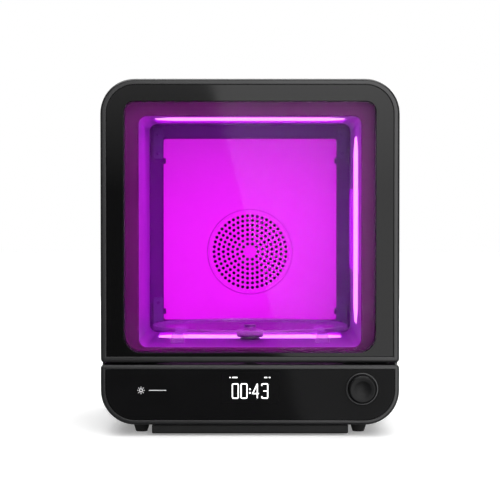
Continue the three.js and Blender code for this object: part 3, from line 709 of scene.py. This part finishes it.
def make_turntable():
    low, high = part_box("turntable_disc")
    centre = centre_of("turntable_disc")
    edge = (high[0] - low[0]) / 2
    hole = 6.3 * MM
    lip = edge - 3.2 * MM
    top = low[2] + 3 * MM
    profile = [(hole, low[2]), (edge, low[2]), (edge, high[2]), (lip, high[2]), (lip, top), (hole, top),
               (hole, low[2])]
    stand_in(lathe("turntable_disc_turned", rounded(profile, 0.8 * MM), centre, steps=160), "turntable_disc",
             ACRYLIC_PAINTED_VIOLET_LIGHT)

    low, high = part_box("drive_hub")
    hub_radius = (high[0] - low[0]) / 2
    spigot = 6 * MM
    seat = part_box("turntable_disc")[0][2] - 0.3 * MM
    bore = 4.3 * MM
    profile = [(bore, low[2]), (hub_radius, low[2]), (hub_radius, seat), (spigot, seat), (spigot, high[2]),
               (0, high[2]), (0, high[2] - 3 * MM), (bore, high[2] - 3 * MM), (bore, low[2])]
    hub = lathe("drive_hub_turned", rounded(profile, 0.6 * MM, 3), centre, steps=64)
    stand_in(hub, "drive_hub", HUB_ANODISED)
    for number in range(1, 5):
        node = f"support_post_{number}"
        stand_in(refined(node, 1.0 * MM), node, ACRYLIC_PAINTED_VIOLET_LIGHT)


# ---------------------------------------------------------------- control unit

PRINT_THICKNESS = 0.12 * MM
CHIN_RIM = 4.3 * MM
CHIN_TOP_RADIUS = 3.5 * MM


def chin_outline():
    return outline_of("control_housing", CHIN_TOP_RADIUS, BODY_RADIUS)


def make_control_unit():
    low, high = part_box("control_housing")
    outer = chin_outline()
    recess = outer.inset(CHIN_RIM)
    cavity = outer.inset(3 * MM)
    recess_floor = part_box("control_panel")[1][1] + 0.3 * MM
    cavity_front = recess_floor + 2.5 * MM
    outside = slab_rings(outer, low[1], high[1], 2.4 * MM, 0.6 * MM)
    lip_radius = 0.5 * MM
    lip = quarter(recess, 0, low[1] + lip_radius, lip_radius, (-1, -1))
    recess_floor_ring = [(recess.points(), recess_floor)]
    cavity_wall = [(cavity.points(), high[1]), (cavity.points(), cavity_front)]
    housing = sweep("control_housing_skin", recess_floor_ring + lip + outside + cavity_wall, closed=False)
    cut_control_openings(housing, recess_floor, cavity_front)
    stand_in(housing, "control_housing", RIM_PAINT)
    make_fascia()
    make_knob()


def cut_control_openings(housing, front, back):
    """Opens the housing behind the display and behind the knob."""
    x, _, z = centre_of("display_window")
    half_width, half_height = 24 * MM, 14 * MM
    knob_x, _, knob_z = centre_of("knob")
    bore = 6 * MM
    margin = 2 * MM
    near, far = front - margin, back + margin
    display_tool = block(
        "display_tool",
        (x - half_width, near, z - half_height),
        (x + half_width, far, z + half_height),
    )
    bore_profile = [(0, near), (bore, near), (bore, far), (0, far)]
    knob_tool = lathe("knob_tool", bore_profile, (knob_x, 0, knob_z), "y", 48)
    carve(housing, display_tool, knob_tool)


def make_fascia():
    low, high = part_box("control_panel")
    lens_low, lens_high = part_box("display_window")
    ring_low, ring_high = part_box("knob_trim_ring")
    gap = 0.12 * MM
    _, _, z = centre_of("display_window")
    width, height = lens_high[0] - lens_low[0], lens_high[2] - lens_low[2]
    ring_x, _, ring_z = centre_of("knob_trim_ring")
    ring_radius = (ring_high[0] - ring_low[0]) / 2
    holes = [
        rectangle(0, z, width + 2 * gap, height + 2 * gap, 1.8 * MM).points(6),
        circle_points(ring_x, ring_z, ring_radius + 0.3 * MM, 72),
    ]
    outline = outline_of("control_panel", 0.6 * MM, BODY_RADIUS - CHIN_RIM - 0.3 * MM)
    fascia = pierced_plate("fascia_sheet", outline.points(18), holes, low[1], high[1], 0.15 * MM)
    stand_in(fascia, "control_panel", FASCIA_BLACK)
    lens = rectangle(0, z, width, height, 1.7 * MM).points(6)
    pane = pierced_plate("display_lens", lens, [], lens_low[1], lens_high[1], 0.15 * MM)
    stand_in(pane, "display_window", FASCIA_BLACK)
    stand_in(refined("display_board", 0.2 * MM), "display_board", SOLDER_MASK)
    make_digits(lens_low[1])
    make_mark(low[1])


def stroke(points, closed=False, corner=1.2 * MM):
    """The (x, z) points of a line whose corners are rounded."""
    path = [Vector(p) for p in points]
    if closed:
        path = path + [path[0], path[1]]
    result = [path[0]] if not closed else []
    for before, here, after in zip(path, path[1:], path[2:]):
        back, ahead = before - here, after - here
        cut = min(corner, 0.5 * back.length, 0.5 * ahead.length)
        start = here + back.normalized() * cut
        end = here + ahead.normalized() * cut
        for step in range(7):
            t = step / 6
            result.append(start * (1 - t) ** 2 + here * 2 * t * (1 - t) + end * t**2)
    if not closed:
        result.append(path[-1])
    return result


def ribbon(name, strokes, face, width):
    """Thin raised print made of strokes, standing on a face that looks to -Y."""
    curve = bpy.data.curves.new(name, "CURVE")
    curve.dimensions = "3D"
    curve.bevel_depth = width / 2
    curve.bevel_resolution = 3
    curve.use_fill_caps = True
    for points, closed in strokes:
        spline = curve.splines.new("POLY")
        spline.points.add(len(points) - 1)
        spline.use_cyclic_u = closed
        for point, place in zip(spline.points, points):
            point.co = (place[0], 0, place[1], 1)
    mesh = mesh_of_curve(name, curve)
    flatten = PRINT_THICKNESS / width
    mesh.transform(Matrix.Translation((0, face, 0)) @ Matrix.Diagonal((1, flatten, 1, 1)))
    return add_object(name, mesh)


def make_digits(face):
    """Four digits of a running timer and the small indicator bars over them."""
    line_width = 1.1 * MM
    low, high = 36.5 * MM, 50.2 * MM
    middle = (low + high) / 2
    half = 2.8 * MM
    strokes = []
    first_zero, second_zero, colon, three = -14.0 * MM, -5.7 * MM, -0.1 * MM, 14.1 * MM
    for x in (first_zero, second_zero):
        box = [(x - half, low), (x + half, low), (x + half, high), (x - half, high)]
        strokes.append((stroke(box, True), True))

    left, post, right, bar = 2.5 * MM, 7.0 * MM, 8.5 * MM, low + 4.4 * MM
    strokes.append((stroke([(post, low), (post, high), (left, bar), (right, bar)], corner=0.3 * MM), False))

    near, far, hook = three - half, three + half, 2.0 * MM
    curl = [(near, high - hook), (near, high), (far, high), (far, low), (near, low), (near, low + hook)]
    strokes.append((stroke(curl), False))
    strokes.append((stroke([(near + 1.4 * MM, middle), (far, middle)]), False))
    for z in (middle - 1.7 * MM, middle + 1.7 * MM):
        strokes.append((circle_points(colon, z, 0.35 * MM, 16), True))
    digits = ribbon("timer_digits", strokes, face, line_width)
    finish_piece(digits, "cabinet", DIGIT_GLOW)

    bar_height = 56.3 * MM
    bars = []
    for x0, x1 in ((-19.6, -18.4), (-16.8, -12.0), (13.6, 16.4), (18.0, 19.4)):
        bars.append(([(x0 * MM, bar_height), (x1 * MM, bar_height)], False))
    small = ribbon("indicator_bars", bars, face, line_width)
    finish_piece(small, "cabinet", DIGIT_GLOW)


def make_mark(face):
    """A generic sun sign and a plain bar, printed at the left of the fascia."""
    x, z = -104 * MM, 44 * MM
    ray_count = 8
    strokes = [(circle_points(x, z, 1.5 * MM), True)]
    inner_ends = circle_points(x, z, 2.5 * MM, ray_count)
    outer_ends = circle_points(x, z, 3.5 * MM, ray_count)
    strokes += [([inner, outer], False) for inner, outer in zip(inner_ends, outer_ends)]
    strokes.append(([(-96.5 * MM, z), (-80 * MM, z)], False))
    mark = ribbon("sun_mark", strokes, face, 0.7 * MM)
    finish_piece(mark, "cabinet", PRINT_GREY)


def make_knob():
    low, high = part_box("knob")
    centre = centre_of("knob")
    radius = (high[0] - low[0]) / 2
    front, back = low[1], high[1]
    dish_radius, dish_depth = 8.6 * MM, 1.5 * MM
    steps = 12
    profile = [
        (dish_radius * i / steps, front + 0.25 * MM + dish_depth * (1 - (i / steps) ** 2))
        for i in range(steps + 1)
    ]
    shoulder = [(radius - 1.6 * MM, front), (radius - 0.15 * MM, front + 1.2 * MM), (radius, front + 3 * MM),
                (radius, back), (3.3 * MM, back), (3.3 * MM, front + 4.2 * MM), (0, front + 4.2 * MM)]
    edge = rounded([profile[-1], *shoulder], 0.7 * MM, 5)
    knob = lathe("knob_cap", profile[:-1] + edge, centre, "y", 128)
    stand_in(knob, "knob", SATIN_BLACK)

    low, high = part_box("knob_trim_ring")
    outer = (high[0] - low[0]) / 2
    inner = outer - 1.5 * MM
    profile = [(inner, high[1]), (inner, low[1]), (outer, low[1]), (outer, high[1]), (inner, high[1])]
    ring = lathe("knob_ring", rounded(profile, 0.5 * MM), centre, "y", 128)
    stand_in(ring, "knob_trim_ring", DARK_TRIM)


# ---------------------------------------------------------------- door

DOOR_RIM = 5.5 * MM
PANE_LAP = 3.3 * MM
HINGE_RADIUS = 9 * MM


def door_outline():
    return outline_of("door_frame", BODY_RADIUS, CHIN_TOP_RADIUS)


def pane_outline():
    return outline_of("door_window", 12.8 * MM, 19.8 * MM)


def window_outline():
    return pane_outline().inset(PANE_LAP)


def make_door_frame():
    low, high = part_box("door_frame")
    outer = door_outline()
    window = window_outline()
    pane_low, pane_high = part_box("door_window")
    recess_floor = pane_low[1]
    rebate = window.inset(-3.6 * MM)
    recess = outer.inset(DOOR_RIM)
    pane_back = pane_high[1] + 0.3 * MM
    rings = slab_rings(outer, low[1], high[1], 2.6 * MM, 0.8 * MM)
    inside_back = quarter(window, 0, high[1] - 0.8 * MM, 0.8 * MM, (-1, 1))
    inside_front = [
        (window.points(), pane_back),
        (rebate.points(), pane_back),
        (rebate.points(), recess_floor),
        (recess.points(), recess_floor),
    ]
    lip = quarter(recess, 0, low[1] + 0.6 * MM, 0.6 * MM, (-1, -1))
    piece = sweep("door_frame_ring", rings + inside_back[::-1] + inside_front + lip)
    carve(piece, hinge_corner_tool(outer), *hinge_slot_tools())
    stand_in(piece, "door_frame", RIM_PAINT)


def hinge_axis():
    joint = next(j for j in frame["joints"] if j["name"] == "door_hinge")
    return joint["pos_m"]


def hinge_corner_tool(outer):
    """What the rounded back edge beside the hinge leaves out, so the door clears the cabinet."""
    x, y, _ = hinge_axis()
    steps = 12
    arc = []
    for step in range(steps + 1):
        angle = math.pi * (0.5 + 0.5 * step / steps)
        arc.append((x + HINGE_RADIUS * math.cos(angle), y + HINGE_RADIUS * math.sin(angle)))
    margin = 2 * MM
    outside = x - HINGE_RADIUS - margin
    behind = y + HINGE_RADIUS + margin
    plan = arc + [(outside, y), (outside, behind), (x, behind)]
    return prism("hinge_corner", plan, outer.bottom - margin, outer.top + margin)


def hinge_slot_tools():
    x, y, _ = hinge_axis()
    tools = []
    for name in ("lower", "upper"):
        _, _, z = centre_of(f"hinge_arm_{name}")
        half = 1.9 * MM
        tools.append(block(
            "hinge_slot",
            (x - HINGE_RADIUS - 1 * MM, y - 6.2 * MM, z - half),
            (x + 5.4 * MM, y + HINGE_RADIUS + 1 * MM, z + half),
        ))
    return tools


def make_door():
    make_door_frame()
    window = window_outline()
    low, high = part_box("door_panel")
    outer = outline_of("door_panel", BODY_RADIUS - DOOR_RIM - 0.3 * MM, 0.6 * MM)
    panel = ring_plate("door_glass_border", outer, window, low[1], high[1], 0.25 * MM, 0.25 * MM)
    stand_in(panel, "door_panel", BLACK_GLASS)

    low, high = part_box("door_window")
    pane = sweep("door_pane", slab_rings(pane_outline(), low[1], high[1], 0.3 * MM, 0.3 * MM), closed=False)
    stand_in(pane, "door_window", WINDOW_GLASS)
    stand_in(refined("strike_plate", 0.25 * MM), "strike_plate", STEEL)


# ---------------------------------------------------------------- everything else

REFINED = {
    "latch_magnet": (0.4, STEEL),
    "door_sensor": (0.5, MOULDED),
    "hinge_arm_lower": (0.35, STEEL),
    "hinge_arm_upper": (0.35, STEEL),
    "drive_shaft": (0.4, STEEL),
    "shaft_bush": (0.25, HUB_ANODISED),
    "turntable_gearmotor": (0.6, UNDERBODY_AND_PAINTED_SHADOW),
    "circulation_fan_housing": (0.4, MOULDED),
    "circulation_impeller": (0.25, MOULDED),
    "cooling_fan_housing": (0.4, MOULDED),
    "cooling_impeller": (0.25, MOULDED),
    "air_heater": (0.3, BACK_PAINTED_VIOLET_LIGHT),
    "main_board": (0.2, SOLDER_MASK),
    "power_supply": (0.8, UNDERBODY_AND_PAINTED_SHADOW),
    "power_inlet": (0.4, MOULDED),
    "power_switch_frame": (0.4, MOULDED),
    "power_rocker": (0.8, SATIN_BLACK),
    "encoder_body": (0.3, STEEL),
    "encoder_plunger": (0.3, BRASS),
}


def make_the_rest():
    for node, (width, material) in REFINED.items():
        stand_in(refined(node, width * MM), node, material)


# ---------------------------------------------------------------- stage, lights and camera


FLOOR_REACH = 6.0
CAMERA_DISTANCE = 1.9
CAMERA_HEIGHT = 0.2303
AIM_HEIGHT = 0.178


def make_stage():
    reach = FLOOR_REACH
    corners = [(-reach, -reach, 0), (reach, -reach, 0), (reach, reach, 0), (-reach, reach, 0)]
    mesh = mesh_from("floor", corners, [(0, 1, 2, 3)])
    floor = add_object("floor", mesh)
    material, tree, shader = new_material("white_floor")
    tone = noise(tree, 2.0, 2)
    white = blend_colours(tree, tone, (0.86, 0.86, 0.86), (0.88, 0.88, 0.88))
    tree.links.new(white, shader.inputs["Base Color"])
    shader.inputs["Roughness"].default_value = 0.9
    shader.inputs["Specular IOR Level"].default_value = 0.1
    shader.inputs["Emission Color"].default_value = (1, 1, 1, 1)
    shader.inputs["Emission Strength"].default_value = 0.25
    mesh.materials.append(material)
    floor.visible_glossy = False


def aim(item, target):
    direction = Vector(target) - item.location
    item.rotation_euler = direction.to_track_quat("-Z", "Y").to_euler()


def area_light(name, place, target, width, height, power, roll=0.0):
    light = bpy.data.lights.new(name, "AREA")
    light.shape = "RECTANGLE"
    light.size = width
    light.size_y = height
    light.energy = power
    item = bpy.data.objects.new(name, light)
    item.location = place
    item.visible_camera = False
    bpy.context.scene.collection.objects.link(item)
    aim(item, target)
    item.rotation_euler.rotate_axis("Z", roll)
    return item


def soft_sun():
    """Broad light from straight above, which keeps the floor white and its shadows short and soft."""
    light = bpy.data.lights.new("soft_sun", "SUN")
    light.energy = 2.45
    light.angle = math.radians(70)
    item = bpy.data.objects.new("soft_sun", light)
    item.location = (0, 0, 3)
    bpy.context.scene.collection.objects.link(item)


def gradient_card(front):
    """A studio card behind the camera, brighter towards its top, for the door's gloss to mirror."""
    y = front - CAMERA_DISTANCE - 0.1
    left, right, bottom, top = -1.6, 1.2, -0.4, 1.1
    corners = [(left, y, bottom), (right, y, bottom), (right, y, top), (left, y, top)]
    card = add_object("gradient_card", mesh_from("gradient_card", corners, [(0, 1, 2, 3)]))
    material, tree, shader = new_material("gradient_card")
    coords = tree.nodes.new("ShaderNodeTexCoord")
    split = tree.nodes.new("ShaderNodeSeparateXYZ")
    tree.links.new(coords.outputs["Object"], split.inputs["Vector"])
    ramp = tree.nodes.new("ShaderNodeMapRange")
    ramp.inputs["From Min"].default_value = 0.24
    ramp.inputs["From Max"].default_value = 0.45
    ramp.inputs["To Min"].default_value = 0.25
    ramp.inputs["To Max"].default_value = 2.2
    tree.links.new(split.outputs["Z"], ramp.inputs["Value"])
    tree.links.new(ramp.outputs["Result"], shader.inputs["Emission Strength"])
    shader.inputs["Emission Color"].default_value = (1, 1, 1, 1)
    shader.inputs["Base Color"].default_value = (0, 0, 0, 1)
    card.data.materials.append(material)
    card.visible_camera = False
    card.visible_shadow = False


def chamber_lights():
    """The violet light that each light window gives the chamber."""
    violet = (0.62, 0.0, 1.0)
    power = 0.025
    for name, inward in (("top", (0, 0, -1)), ("side", (-1, 0, 0)), ("floor", (0, 0, 1))):
        low, high = (Vector(corner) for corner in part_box(f"light_window_{name}"))
        size = high - low
        across = size.z if name == "side" else size.x
        place = (low + high) / 2 + Vector(inward) * 3 * MM
        lamp = area_light(f"lamp_{name}", place, place + Vector(inward), across, size.y, power)
        lamp.data.color = violet


def make_lights(front):
    # The right-hand card stands where its mirror image in the door has a slanted left edge.
    card_x, card_z = 0.88, 0.356
    card_place = (card_x, front - CAMERA_DISTANCE, card_z)
    area_light("card_right", card_place, (card_x, front, card_z), 1.8, 2.6, 65, roll=math.radians(14.7))

    # The overhead light only gives the upper edges their shine. The sun lights the floor.
    overhead = area_light("overhead", (0.0, 0.1, 1.7), (0, 0, 0), 2.2, 2.2, 70)
    overhead.visible_diffuse = False
    soft_sun()
    gradient_card(front)
    area_light("left_fill", (-1.8, -0.4, 0.9), (0, 0, 0.15), 1.0, 1.4, 0.6)
    area_light("rear_fill", (0.4, 2.0, 1.0), (0, 0, 0.15), 1.6, 1.2, 30)
    chamber_lights()
    make_world()


def make_world():
    """Dim even light from all round, while the camera itself sees plain white."""
    world = bpy.data.worlds.new("studio")
    bpy.context.scene.world = world
    world.use_nodes = True
    tree = world.node_tree
    background = tree.nodes["Background"]
    background.inputs["Color"].default_value = (1, 1, 1, 1)
    background.inputs["Strength"].default_value = 0.12
    seen = tree.nodes.new("ShaderNodeBackground")
    seen.inputs["Color"].default_value = (1, 1, 1, 1)
    seen.inputs["Strength"].default_value = 1.0
    mix = tree.nodes.new("ShaderNodeMixShader")
    path = tree.nodes.new("ShaderNodeLightPath")
    tree.links.new(path.outputs["Is Camera Ray"], mix.inputs["Fac"])
    tree.links.new(background.outputs["Background"], mix.inputs[1])
    tree.links.new(seen.outputs["Background"], mix.inputs[2])
    tree.links.new(mix.outputs["Shader"], tree.nodes["World Output"].inputs["Surface"])


def make_camera(front):
    camera = bpy.data.cameras.new("camera")
    camera.lens = 143.7
    camera.sensor_width = 36
    camera.clip_start = 0.05
    camera.clip_end = 50
    item = bpy.data.objects.new("camera", camera)
    item.location = (0, front - CAMERA_DISTANCE, CAMERA_HEIGHT)
    bpy.context.scene.collection.objects.link(item)
    aim(item, (0, front, AIM_HEIGHT))
    bpy.context.scene.camera = item


door_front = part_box("door_frame")[0][1]
bpy.context.scene.view_settings.view_transform = "Standard"

make_camera(door_front)
make_stage()
make_lights(door_front)
make_shell()
make_rear_cover()
make_underside()
make_front_frame()
make_liner()
make_lamps()
make_back_wall()
make_turntable()
make_control_unit()
make_door()
make_the_rest()
